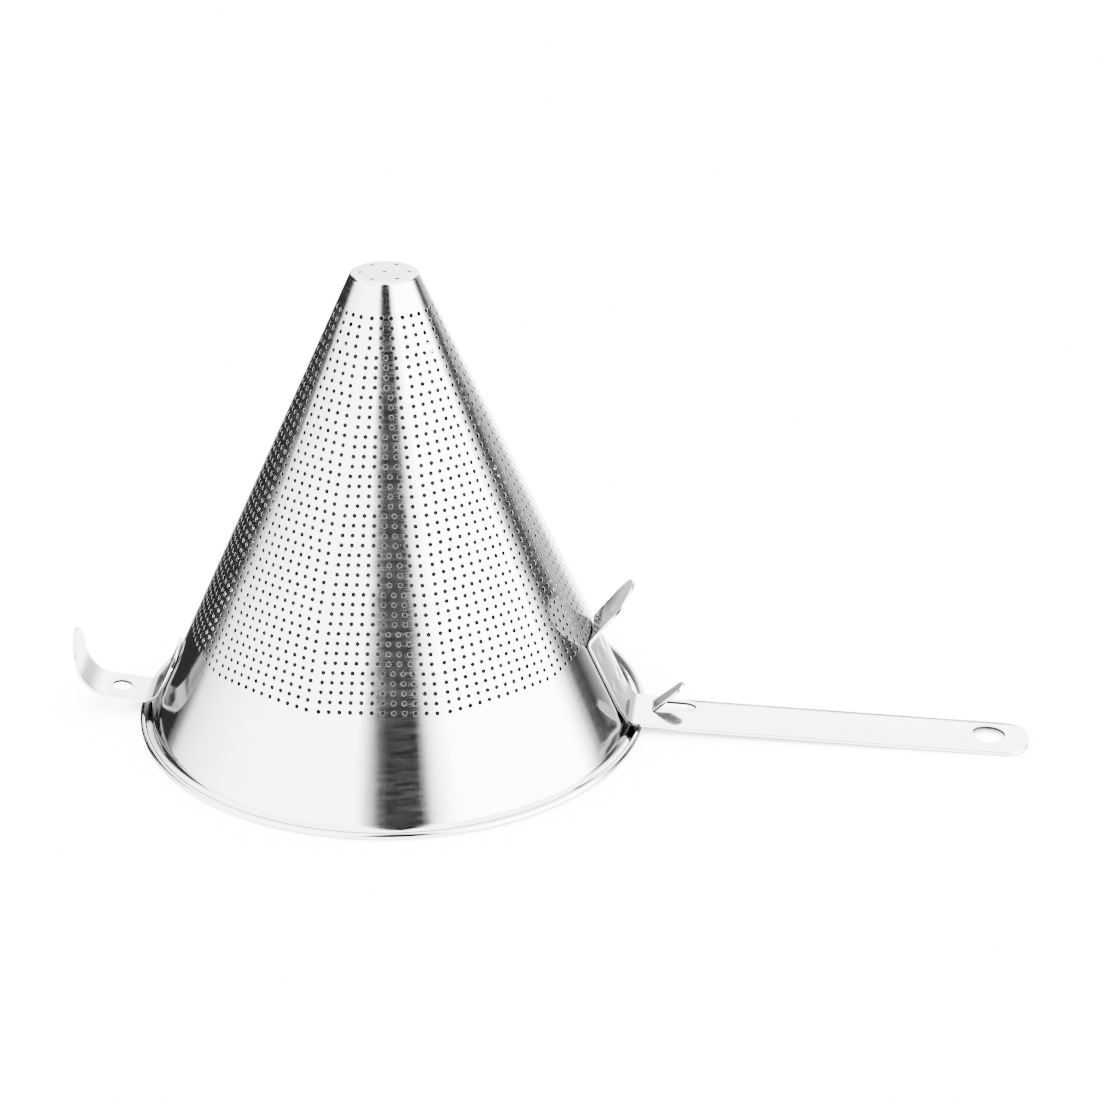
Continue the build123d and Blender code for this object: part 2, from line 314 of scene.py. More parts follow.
@dataclass
class StrainerCone:
    """The drawn, perforated and rolled sheet."""

    wall: Wall
    rim_radius: float
    sheet: float = 0.7 * MM
    tip_bend: float = 2.0 * MM
    flare: float = 4.0 * MM
    bead_diameter: float = 2.9 * MM
    bead_wrap: float = 295.0
    spin_steps: int = 120
    sectors: int = 10
    sector_start: float = 23.5
    rows: int = 41
    first_row: float = 15.22 * MM
    row_pitch: float = 4.28 * MM
    rows_to_a_step: int = 4
    fewest: int = 3
    most: int = 12
    sector_gap_share: float = 0.22
    tip_ring_radius: float = 10.8 * MM
    tip_ring_count: int = 6
    tip_ring_start: float = 10.2
    # A corner takes the true cone's normal if it lies within the play of a wall's face, and
    # its own face looks that way: these are cosines to the outward direction.
    smooth_below: float = 50.0
    play: float = 0.06 * MM
    outside_facing: float = 0.4
    inside_facing: float = -0.9

    def section(self) -> list[Point]:
        """Outline the sheet's section, from the tip's outside round the roll to its inside.

        Returns:
            Radius and height of each point.
        """
        angle = math.degrees(self.wall.angle)
        bead = self.bead_diameter / 2
        tip_centre = self.wall.point(self.wall.height - self.tip_bend, -self.tip_bend)
        flare_centre = self.wall.point(self.sheet + self.flare, self.flare)
        roll_centre = (self.rim_radius - bead, bead)
        # Each arc has its centre, radius, first angle, sweep and number of steps.
        arcs = (
            (tip_centre, self.tip_bend, 90, angle - 90, 5),
            (flare_centre, self.flare, 180 + angle, 90 - angle, 6),
            (roll_centre, bead - self.sheet, -90, self.bead_wrap, 8),
            (roll_centre, bead, self.bead_wrap - 90, -self.bead_wrap, 16),
            (flare_centre, self.flare + self.sheet, 270, angle - 90, 5),
            (tip_centre, self.tip_bend - self.sheet, angle, 90 - angle, 4),
        )
        return [point for row in arcs for point in arc(*row)]

    def spin(self) -> Object:
        """Spin the section into the closed sheet.

        Returns:
            The sheet before it is punched.
        """
        outline = self.section()
        bpy.ops.object.select_all(action="DESELECT")
        bpy.ops.mesh.primitive_circle_add(vertices=len(outline), radius=self.rim_radius)
        shell = bpy.context.object
        for vertex, (radius, height) in zip(shell.data.vertices, outline):
            vertex.co = (radius, 0, height)
        last = len(outline) - 1
        bpy.ops.object.mode_set(mode="EDIT")
        bpy.ops.mesh.select_mode(type="EDGE")
        bpy.ops.mesh.select_all(action="DESELECT")
        mesh = bmesh.from_edit_mesh(shell.data)
        for edge in mesh.edges:
            edge.select_set({vertex.index for vertex in edge.verts} == {0, last})
        bmesh.update_edit_mesh(shell.data)
        bpy.ops.mesh.delete(type="EDGE")
        bpy.ops.mesh.select_all(action="SELECT")
        bpy.ops.mesh.spin(steps=self.spin_steps, angle=2 * math.pi, center=(0, 0, 0), axis=(0, 0, 1))
        bpy.ops.mesh.select_all(action="SELECT")
        bpy.ops.mesh.remove_doubles(threshold=SAME_POINT)
        bpy.ops.mesh.select_all(action="DESELECT")
        bpy.ops.mesh.select_non_manifold()
        bpy.ops.mesh.fill_holes(sides=0)
        bpy.ops.mesh.select_all(action="SELECT")
        bpy.ops.mesh.normals_make_consistent(inside=False)
        bpy.ops.object.mode_set(mode="OBJECT")
        return shell

    def hole_places(self) -> list[Matrix]:
        """Find the place of every hole in the wall and in the tip.

        A row of a sector lies on a straight line of the flat blank, and its holes are
        spread so that a little more than a pitch stays plain between two sectors.

        Returns:
            One matrix for each hole.
        """
        places = []
        sine = math.sin(self.wall.angle)
        half_sector = math.pi / self.sectors * sine
        for row in range(self.rows):
            slant = self.wall.tip_radius / sine + self.first_row + row * self.row_pitch
            count = min(self.fewest + row // self.rows_to_a_step, self.most)
            pitch = 2 * slant * math.tan(half_sector) / (count + self.sector_gap_share)
            for hole in range(count):
                turn = math.atan(pitch * (hole - (count - 1) / 2) / slant)
                for sector in range(self.sectors):
                    middle = math.radians(self.sector_start) + sector * 2 * math.pi / self.sectors
                    places.append(self.wall.seat(slant / math.cos(turn), middle + turn / sine))
        top = Matrix.Translation((0, 0, self.wall.height))
        places.append(top)
        for hole in range(self.tip_ring_count):
            turn = math.radians(self.tip_ring_start) + hole * 2 * math.pi / self.tip_ring_count
            spot = (self.tip_ring_radius * math.cos(turn), self.tip_ring_radius * math.sin(turn), 0)
            places.append(top @ Matrix.Translation(spot))
        return places

    def shade(self, cone: Object) -> None:
        """Give the wall's corners the true cone's normals, so that no facet shows.

        A corner where a hole's lip meets the wall takes the wall's normal too, so that the
        lip looks rolled over.

        Args:
            cone: The punched sheet.
        """
        make_only(cone)
        bpy.ops.object.shade_smooth_by_angle(angle=math.radians(self.smooth_below))
        mesh = cone.data
        normals = read(mesh.corner_normals, "vector", 3, float)
        points = read(mesh.vertices, "co", 3, float)[read(mesh.loops, "vertex_index", 1, int)]
        sizes = read(mesh.polygons, "loop_total", 1, int)
        faces = np.repeat(read(mesh.polygons, "normal", 3, float), sizes, axis=0)
        radius, height = np.hypot(points[:, 0], points[:, 1]), points[:, 2]
        azimuth = np.arctan2(points[:, 1], points[:, 0])
        cosine, sine = math.cos(self.wall.angle), math.sin(self.wall.angle)
        rise = np.full(len(points), sine)
        outward = np.stack([cosine * np.cos(azimuth), cosine * np.sin(azimuth), rise], axis=1)
        depth = (self.wall.foot_radius - self.wall.slope * height - radius) * cosine
        low = self.sheet + self.flare * (1 - sine) - self.play
        high = self.wall.height - self.tip_bend * (1 - sine) + self.play
        straight = (height > low) & (height < high)
        facing = np.einsum("ij,ij->i", faces, outward)
        outside = straight & (np.abs(depth) < self.play) & (facing > self.outside_facing)
        inside = straight & (np.abs(depth - self.sheet) < self.play) & (facing < self.inside_facing)
        normals[outside] = outward[outside]
        normals[inside] = -outward[inside]
        on_tip = (np.abs(height - self.wall.height) < self.play) & (faces[:, 2] > self.outside_facing)
        normals[on_tip] = (0, 0, 1)
        mesh.normals_split_custom_set(normals.tolist())

    def build(self) -> Object:
        """Spin, punch and shade the sheet.

        Returns:
            The finished cone.
        """
        cone = self.spin()
        cone.name = cone.data.name = "perforated_cone"
        mark_faces(cone, [0] * len(cone.data.polygons))
        gang = PunchTool().stamp(self.hole_places())
        cut_away(cone, gang, solver="MANIFOLD")
        self.shade(cone)
        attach(cone, "root")
        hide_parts(Part.CONE.value)
        return cone


@dataclass(frozen=True)
class Stretch:
    """A straight or an evenly bent stretch of a strap's middle line."""

    start: Point
    heading: float
    length: float
    curvature: float

    def place(self, along: float) -> tuple[Point, float]:
        """Find the point and the heading a length into the stretch.

        Args:
            along: Distance from the stretch's start.

        Returns:
            The point and the heading there, in radians.
        """
        if not self.curvature:
            return step(self.start, along, math.degrees(self.heading)), self.heading
        heading = self.heading + self.curvature * along
        radius = 1 / self.curvature
        across = self.start[0] + radius * (math.sin(heading) - math.sin(self.heading))
        up = self.start[1] - radius * (math.cos(heading) - math.cos(self.heading))
        return (across, up), heading


@dataclass
class StrapRun:
    """A strap's middle line in side view: corners, and the radius that rounds each."""

    corners: list[Point]
    radii: list[float]
    stretches: list[Stretch] = field(init=False)

    def __post_init__(self) -> None:
        """Work out the straights and the bends between them."""
        self.stretches = []
        start = Vector(self.corners[0])
        for place in range(1, len(self.corners) - 1):
            corner = Vector(self.corners[place])
            before = (corner - Vector(self.corners[place - 1])).normalized()
            after = (Vector(self.corners[place + 1]) - corner).normalized()
            heading = math.atan2(before.y, before.x)
            turn = math.atan2(before.x * after.y - before.y * after.x, before.dot(after))
            radius = self.radii[place - 1]
            tangent = radius * math.tan(abs(turn) / 2)
            bend_start = corner - before * tangent
            self.stretches.append(Stretch(tuple(start), heading, (bend_start - start).length, 0.0))
            self.stretches.append(
                Stretch(tuple(bend_start), heading, radius * abs(turn), math.copysign(1 / radius, turn))
            )
            start = corner + after * tangent
        last = Vector(self.corners[-1])
        heading = math.atan2(last.y - start.y, last.x - start.x)
        self.stretches.append(Stretch(tuple(start), heading, (last - start).length, 0.0))

    @property
    def length(self) -> float:
        """Return the length of the flat blank."""
        return sum(stretch.length for stretch in self.stretches)

    def place(self, along: float, off: float) -> Point:
        """Find where a point of the flat blank comes to lie.

        Args:
            along: Distance from the blank's start.
            off: Distance from the middle line, to the left of the run.

        Returns:
            Radius and height.
        """
        for stretch in self.stretches[:-1]:
            if along <= stretch.length:
                break
            along -= stretch.length
        else:
            stretch = self.stretches[-1]
        point, heading = stretch.place(along)
        return (point[0] - off * math.sin(heading), point[1] + off * math.cos(heading))

    def bend_cuts(self, most_turn: float) -> list[float]:
        """List the distances at which the blank needs an edge across it to bend evenly.

        Args:
            most_turn: The most that the strap may turn between two edges, in degrees.

        Returns:
            Distances from the blank's start.
        """
        cuts = []
        along = 0.0
        for stretch in self.stretches:
            if stretch.curvature:
                turn = abs(stretch.curvature) * stretch.length
                cuts += evenly(along, stretch.length, math.ceil(turn / math.radians(most_turn)))
            along += stretch.length
        return cuts

    def distance_to(self, radius: float) -> float:
        """Find how far along the run its last straight reaches a radius from the axis."""
        last = self.stretches[-1]
        before = self.length - last.length
        return before + (radius - last.start[0]) / math.cos(last.heading)


@dataclass
class FlatBlank:
    """A strap's blank: a flat bar with its length along X, cut before it is bent."""

    length: float
    width: float
    thickness: float
    edge_round: float = 0.22 * MM
    hole_sides: int = 56
    mark_sides: int = 32
    mark_rings: int = 128

    def bar(self) -> Object:
        """Model the plain bar, from X = 0 to its length."""
        bar = self.block((0, self.length), self.width, self.thickness)
        mark_faces(bar, [0] * len(bar.data.polygons))
        return bar

    @staticmethod
    def block(span: tuple[float, float], width: float, thickness: float) -> Object:
        """Model a plain block.

        Args:
            span: Where it starts and ends along X.
            width: Its size along Y.
            thickness: Its size along Z.

        Returns:
            The block.
        """
        bpy.ops.object.select_all(action="DESELECT")
        bpy.ops.mesh.primitive_cube_add(
            size=1,
            location=((span[0] + span[1]) / 2, 0, 0),
            scale=(span[1] - span[0], width, thickness),
        )
        bpy.ops.object.transform_apply(location=True, rotation=True, scale=True)
        return bpy.context.object

    @staticmethod
    def round_end(obj: Object, end: float, radius: float, segments: int = 14) -> None:
        """Round the two corners of a block's end.

        Args:
            obj: The block.
            end: Where the end lies along X.
            radius: The corners' radius.
            segments: Number of faces round each corner.
        """
        make_only(obj)
        bpy.ops.object.mode_set(mode="EDIT")
        bpy.ops.mesh.select_mode(type="EDGE")
        bpy.ops.mesh.select_all(action="DESELECT")
        mesh = bmesh.from_edit_mesh(obj.data)
        for edge in mesh.edges:
            one, other = edge.verts
            upright = abs(one.co.x - other.co.x) + abs(one.co.y - other.co.y) < TOUCHING
            at_end = abs(one.co.x - end) < TOUCHING
            edge.select_set(upright and at_end)
        bmesh.update_edit_mesh(obj.data)
        bpy.ops.mesh.bevel(offset=radius - SHY, segments=segments, affect="EDGES")
        bpy.ops.object.mode_set(mode="OBJECT")

    def lanes(self, count: int) -> list[float]:
        """List the distances off the middle line that part the blank into even lanes."""
        return [self.width * (place / count - 0.5) for place in range(1, count)]

    def drill(self, obj: Object, place: float, diameter: float) -> None:
        """Cut a round hole on the blank's middle line.

        Args:
            obj: The blank.
            place: Distance of the hole's centre from the blank's start.
            diameter: The hole's diameter.
        """
        bpy.ops.object.select_all(action="DESELECT")
        bpy.ops.mesh.primitive_cylinder_add(
            vertices=self.hole_sides,
            radius=diameter / 2,
            depth=4 * self.thickness,
            location=(place, 0, 0),
        )
        drill = bpy.context.object
        # The hole's cut wall is marked for painted shade.
        mark_faces(drill, [1] * len(drill.data.polygons))
        cut_away(obj, drill)

    def press(self, obj: Object, spot: Point, diameter: float, depth: float) -> None:
        """Press the shallow round hollow of a weld electrode into the top face.

        Args:
            obj: The blank.
            spot: Distance along the blank and off its middle line.
            diameter: The hollow's diameter.
            depth: The hollow's depth.
        """
        radius = ((diameter / 2) ** 2 + depth**2) / (2 * depth)
        bpy.ops.object.select_all(action="DESELECT")
        bpy.ops.mesh.primitive_uv_sphere_add(
            segments=self.mark_sides,
            ring_count=self.mark_rings,
            radius=radius,
            location=(spot[0], spot[1], self.thickness / 2 - depth + radius),
        )
        cut_away(obj, bpy.context.object)

    def finish_edges(self, obj: Object) -> None:
        """Round the blank's sheared edges a little, as tumbling leaves them."""
        apply_modifier(
            obj,
            "BEVEL",
            width=self.edge_round,
            segments=2,
            limit_method="ANGLE",
            angle_limit=math.radians(40),
            use_clamp_overlap=False,
        )

    @staticmethod
    def score(obj: Object, cuts: list[float], lanes: list[float]) -> None:
        """Cut edges across and along the blank, so that it can bend and crown.

        Args:
            obj: The blank.
            cuts: Distances along the blank.
            lanes: Distances off its middle line.
        """
        make_only(obj)
        bpy.ops.object.mode_set(mode="EDIT")
        planes = [((cut, 0, 0), (1, 0, 0)) for cut in cuts] + [((0, lane, 0), (0, 1, 0)) for lane in lanes]
        for place, normal in planes:
            bpy.ops.mesh.select_all(action="SELECT")
            bpy.ops.mesh.bisect(plane_co=place, plane_no=normal, threshold=SAME_POINT)
        bpy.ops.object.mode_set(mode="OBJECT")


def soften(obj: Object, smooth_below: float = 38.0) -> None:
    """Shade a strap smooth where it turns by fewer degrees, with its flat faces kept flat."""
    make_only(obj)
    bpy.ops.object.shade_smooth_by_angle(angle=math.radians(smooth_below))
    apply_modifier(obj, "WEIGHTED_NORMAL", keep_sharp=True, weight=80)


@dataclass
class Strap:
    """What the handle and the hook share: the wall they are welded to and their stock."""

    wall: Wall
    rim_radius: float
    bead_diameter: float = 2.9 * MM
    thickness: float = 1.5 * MM
    weld_seam: float = 0.3 * MM
    mark_diameter: float = 9.0 * MM
    mark_depth: float = 0.3 * MM
    # Which stretch of the run is the weld plate, and how its wrap round the wall fades out.
    plate_place: int = 0
    wrap_fade: float = 26.0 * MM
    foot_fade: float = 6.0 * MM
    fade_steps: int = 6
    plate_steps: int = 4
    # The mesh needs edges across for every such turn in degrees, and lanes along.
    most_turn: float = 9.0
    lane_count: int = 8

    @property
    def beside(self) -> float:
        """Return how far the plate's middle line stands off the wall."""
        return self.weld_seam + self.thickness / 2

    def foot_corner(self, over_rim: float, slope: float) -> Point:
        """Find where the line beside the wall meets the line over the rim.

        Args:
            over_rim: Height of the middle line over the resting plane at the rim's roll.
            slope: Rise of the strap beyond the rim, in degrees.

        Returns:
            The corner of the middle line.
        """
        rise = math.tan(math.radians(slope))
        start = self.wall.point(0, self.beside)[0]
        bead_centre = self.rim_radius - self.bead_diameter / 2
        height = (over_rim + rise * (start - bead_centre)) / (1 + rise * self.wall.slope)
        return self.wall.point(height, self.beside)

    def plate_span(self, run: StrapRun) -> tuple[float, float]:
        """Find where the weld plate starts and ends along the blank."""
        start = sum(stretch.length for stretch in run.stretches[: self.plate_place])
        return start, start + run.stretches[self.plate_place].length

    def wrap(self, run: StrapRun, along: float, across: float) -> float:
        """Find how far the plate's side is pressed towards the round wall.

        Args:
            run: The strap's middle line.
            along: Distance from the blank's start.
            across: Distance from the blank's middle line.

        Returns:
            The distance from the flat plate to the wrapped one.
        """
        start, end = self.plate_span(run)
        fit = ease(1 - (start - along) / self.wrap_fade) * ease((end - along) / self.foot_fade)
        round_radius = run.place(max(along, start), 0)[0] / math.cos(self.wall.angle)
        return fit * across * across / (2 * round_radius)

    def wrap_cuts(self, run: StrapRun) -> list[float]:
        """List the distances at which the blank needs an edge across it to wrap evenly."""
        start, end = self.plate_span(run)
        top = max(start - self.wrap_fade, 0)
        cuts = evenly(top, start - top, self.fade_steps)[1:-1] if top < start else []
        cuts += evenly(start, end - self.foot_fade - start, self.plate_steps)[1:]
        return cuts + evenly(end, -self.foot_fade, self.fade_steps)[1:-1]

    def below_top(self, top: Point, height: float) -> float:
        """Measure down the wall from a plate's top to a height."""
        return (top[1] - height) / math.cos(self.wall.angle)


@dataclass
class HandleStrap(Strap):
    """Weld plate, flared tab, crowned handle and lanced tongue, all of one strap."""

    width: float = 28.2 * MM
    reach: float = 178.7 * MM
    lift: float = 0.9 * MM
    end_clearance: float = 0.1 * MM
    foot_bend: float = 5.0 * MM
    crown: float = 1.6 * MM
    crown_drop_share: float = 2 / 3
    crown_run: float = 22.0 * MM
    corner_radius: float = 11.5 * MM
    hang_hole: float = 15.0 * MM
    hang_hole_from_end: float = 18.2 * MM
    fold_height: float = 45.0 * MM
    fold_radius: float = 1.6 * MM
    tab_length: float = 31.8 * MM
    tab_angle: float = 55.0
    tongue_from_rim: float = 2.6 * MM
    tongue_offset: float = 3.9 * MM
    tongue_length: float = 20.4 * MM
    tongue_root: float = 11.0 * MM
    tongue_tip: float = 7.2 * MM
    tongue_angle: float = 44.4
    tongue_bend: float = 1.2 * MM
    slot_side: float = 0.2 * MM
    slot_end: float = 0.8 * MM
    crown_steps: int = 8
    tongue_steps: int = 6
    lane_count: int = 10
    plate_place: int = 2
    weld_spacing: float = 12.5 * MM
    weld_heights: Point = (36.5 * MM, 20.5 * MM)

    def run(self) -> StrapRun:
        """Lay out the middle line, from the tab's tip to the handle's end."""
        middle = self.thickness / 2
        over_rim = self.bead_diameter + self.lift
        over_end = self.end_clearance + self.crown * self.crown_drop_share
        end = self.rim_radius + self.reach
        bead_centre = self.rim_radius - self.bead_diameter / 2
        slope = math.degrees(math.asin((over_end - over_rim) / (end - bead_centre)))
        fold = self.wall.point(self.fold_height, self.beside)
        tab_tip = step(fold, self.tab_length, self.tab_angle)
        foot = self.foot_corner(over_rim + middle, slope)
        last = (end - middle * math.sin(math.radians(slope)), over_end + middle)
        return StrapRun([tab_tip, fold, foot, last], [self.fold_radius + middle, self.foot_bend + middle])

    def lance(self, root: float) -> Object:
        """Model what the lancing punch takes out: the slot less the tongue.

        Args:
            root: Distance of the tongue's root from the blank's start.

        Returns:
            The cutter.
        """
        tall = 4 * self.thickness
        width = self.tongue_root + 2 * self.slot_side
        end = root + self.tongue_length + self.slot_end
        slot = FlatBlank.block((root, end), width, tall)
        FlatBlank.round_end(slot, end, width / 2)
        tip = root + self.tongue_length
        tongue = FlatBlank.block((root - self.slot_side, tip), self.tongue_root, 2 * tall)
        for vertex in tongue.data.vertices:
            if vertex.co.x > root:
                vertex.co.y *= self.tongue_tip / self.tongue_root
        FlatBlank.round_end(tongue, tip, self.tongue_tip / 2, segments=8)
        cut_away(slot, tongue)
        # The slot's cut walls are marked for painted shade.
        mark_faces(slot, [1] * len(slot.data.polygons))
        slot.data.transform(Matrix.Translation((0, self.tongue_offset, 0)))
        return slot

    def on_tongue(self, into: float, aside: float) -> bool:
        """Tell whether a point of the lanced blank belongs to the tongue.

        Args:
            into: Distance beyond the tongue's root.
            aside: Distance from the tongue's middle line.

        Returns:
            True on the tongue, and False on the strap round the slot.
        """
        slot_radius = self.tongue_root / 2 + self.slot_side
        tip_radius = self.tongue_tip / 2
        middle = self.tongue_length + (self.slot_end - slot_radius - tip_radius) / 2
        if into > middle:
            return math.hypot(into - middle, aside) < (slot_radius + tip_radius) / 2
        taper = max(into / self.tongue_length, 0)
        half = (self.tongue_root + (self.tongue_tip - self.tongue_root) * taper) / 2
        return into > 0 and aside < half + self.slot_side / 2

    def bend(self, strap: Object, run: StrapRun, root: float) -> None:
        """Bend the flat blank to its run, crown the handle and raise the tongue.

        Args:
            strap: The cut blank.
            run: The middle line to bend it to.
            root: Distance of the tongue's root from the blank's start.
        """
        last = run.stretches[-1]
        heading = math.degrees(last.heading)
        root_point = run.place(root, 0)
        curve = self.tongue_bend + self.thickness / 2
        back = step(root_point, -curve, heading)
        turn_point = step(root_point, curve * math.tan(math.radians(self.tongue_angle / 2)), heading)
        tip = step(turn_point, 2 * self.tongue_length, heading + self.tongue_angle)
        tongue_run = StrapRun([back, turn_point, tip], [curve])
        tongue = set()
        for vertex in strap.data.vertices:
            along, across, off = vertex.co
            into = along - root
            if self.on_tongue(into, abs(across - self.tongue_offset)):
                tongue.add(vertex.index)
                radius, height = tongue_run.place(into + curve, off)
            else:
                eased = ease(into / self.crown_run)
                rise = 1 - self.crown_drop_share - (2 * across / self.width) ** 2
                lift = self.crown * eased * rise - self.wrap(run, along, across)
                radius, height = run.place(along, off + lift)
            vertex.co = (radius, across, height)
        # The tongue's cut edges face the light, so they lose the painted shade of the slot's walls.
        for face in strap.data.polygons:
            if tongue.issuperset(face.vertices):
                face.material_index = 0

    def build(self) -> Object:
        """Cut, bend and finish the handle strap.

        Returns:
            The finished strap.
        """
        run = self.run()
        blank = FlatBlank(run.length, self.width, self.thickness)
        root = run.distance_to(self.rim_radius + self.tongue_from_rim)
        strap = blank.bar()
        strap.name = strap.data.name = "handle_with_tab_and_tongue"
        blank.round_end(strap, 0, self.width / 2, segments=20)
        blank.round_end(strap, run.length, self.corner_radius)
        blank.drill(strap, run.length - self.hang_hole_from_end, self.hang_hole)
        cut_away(strap, self.lance(root))
        top = self.wall.point(self.fold_height)
        for height in self.weld_heights:
            for side in (-self.weld_spacing / 2, self.weld_spacing / 2):
                spot = (self.tab_length + self.below_top(top, height), side)
                blank.press(strap, spot, self.mark_diameter, self.mark_depth)
        blank.finish_edges(strap)
        curve = self.tongue_bend + self.thickness / 2
        sweep = curve * math.radians(self.tongue_angle)
        cuts = run.bend_cuts(self.most_turn) + self.wrap_cuts(run)
        cuts += evenly(root, self.crown_run, self.crown_steps)
        cuts += evenly(root, sweep, self.tongue_steps)
        blank.score(strap, cuts, blank.lanes(self.lane_count))
        self.bend(strap, run, root)
        soften(strap)
        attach(strap, "root")
        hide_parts(Part.HANDLE.value)
        return strap


@dataclass
class PotHook(Strap):
    """The hook opposite the handle, made on the +X side and turned into its place."""

    width: float = 22.0 * MM
    turn: float = 6.0
    lift: float = 3.0 * MM
    slope: float = 9.0
    foot_bend: float = 6.0 * MM
    plate_height: float = 33.0 * MM
    arm_length: float = 22.4 * MM
    curl_radius: float = 15.1 * MM
    curl_angle: float = 75.0
    tip_length: float = 15.4 * MM
    hole: float = 9.3 * MM
    hole_from_rim: float = 9.4 * MM
    weld_heights: Point = (26.0 * MM, 15.5 * MM)
    most_turn: float = 6.0

    def run(self) -> StrapRun:
        """Lay out the middle line, from the plate's top to the curl's tip."""
        middle = self.thickness / 2
        top = self.wall.point(self.plate_height, self.beside)
        foot = self.foot_corner(self.bead_diameter + self.lift + middle, self.slope)
        curl = self.curl_radius + middle
        tangent = curl * math.tan(math.radians(self.curl_angle / 2))
        corner = step(foot, self.arm_length + tangent, self.slope)
        tip = step(corner, tangent + self.tip_length, self.slope + self.curl_angle)
        return StrapRun([top, foot, corner, tip], [self.foot_bend + middle, curl])

    def build(self) -> Object:
        """Cut, bend and finish the pot hook.

        Returns:
            The finished hook.
        """
        run = self.run()
        blank = FlatBlank(run.length, self.width, self.thickness)
        hook = blank.bar()
        hook.name = hook.data.name = "curled_pot_hook"
        blank.round_end(hook, 0, self.width / 2, segments=18)
        blank.round_end(hook, run.length, self.width / 2, segments=18)
        arm = run.stretches[2]
        before = run.stretches[0].length + run.stretches[1].length
        hole_radius = self.rim_radius + self.hole_from_rim
        hole_place = before + (hole_radius - arm.start[0]) / math.cos(arm.heading)
        blank.drill(hook, hole_place, self.hole)
        top = self.wall.point(self.plate_height)
        for height in self.weld_heights:
            blank.press(hook, (self.below_top(top, height), 0), self.mark_diameter, self.mark_depth)
        blank.finish_edges(hook)
        cuts = run.bend_cuts(self.most_turn) + self.wrap_cuts(run)
        blank.score(hook, cuts, blank.lanes(self.lane_count))
        for vertex in hook.data.vertices:
            along, across, off = vertex.co
            radius, height = run.place(along, off - self.wrap(run, along, across))
            vertex.co = (radius, across, height)
        hook.data.transform(Matrix.Rotation(math.radians(180 + self.turn), 4, "Z"))
        soften(hook)
        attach(hook, "root")
        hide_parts(Part.HOOK.value)
        return hook


def add_node(
    tree: NodeTree,
    kind: str,
    values: dict[str | int, object] | None = None,
    links: dict[str | int, NodeSocket] | None = None,
    **settings: object,
) -> bpy_prop_collection:
    """Add a node with its settings, input values and links.

    Args:
        tree: The node tree.
        kind: The node's type, without the words ShaderNode.
        values: Values for inputs, by name or number.
        links: Sockets that feed inputs, by name or number.
        **settings: Values for the node's own properties.

    Returns:
        The node's outputs.
    """
    node = tree.nodes.new("ShaderNode" + kind)
    for name, value in settings.items():
        setattr(node, name, value)
    for name, value in (values or {}).items():
        node.inputs[name].default_value = value
    for name, socket in (links or {}).items():
        tree.links.new(socket, node.inputs[name])
    return node.outputs


def empty_tree(owner: bpy.types.Material | bpy.types.World) -> NodeTree:
    """Give a material or a world a node tree with nothing in it."""
    owner.use_nodes = True
    owner.node_tree.nodes.clear()
    return owner.node_tree


def steel_surface(tree: NodeTree, links: dict[str | int, NodeSocket]) -> None:
    """Make the surface steel, with what feeds its colour, roughness and relief."""
    shader = add_node(tree, "BsdfPrincipled", {"Metallic": 1.0}, links)
    add_node(tree, "OutputMaterial", links={"Surface": shader["BSDF"]})


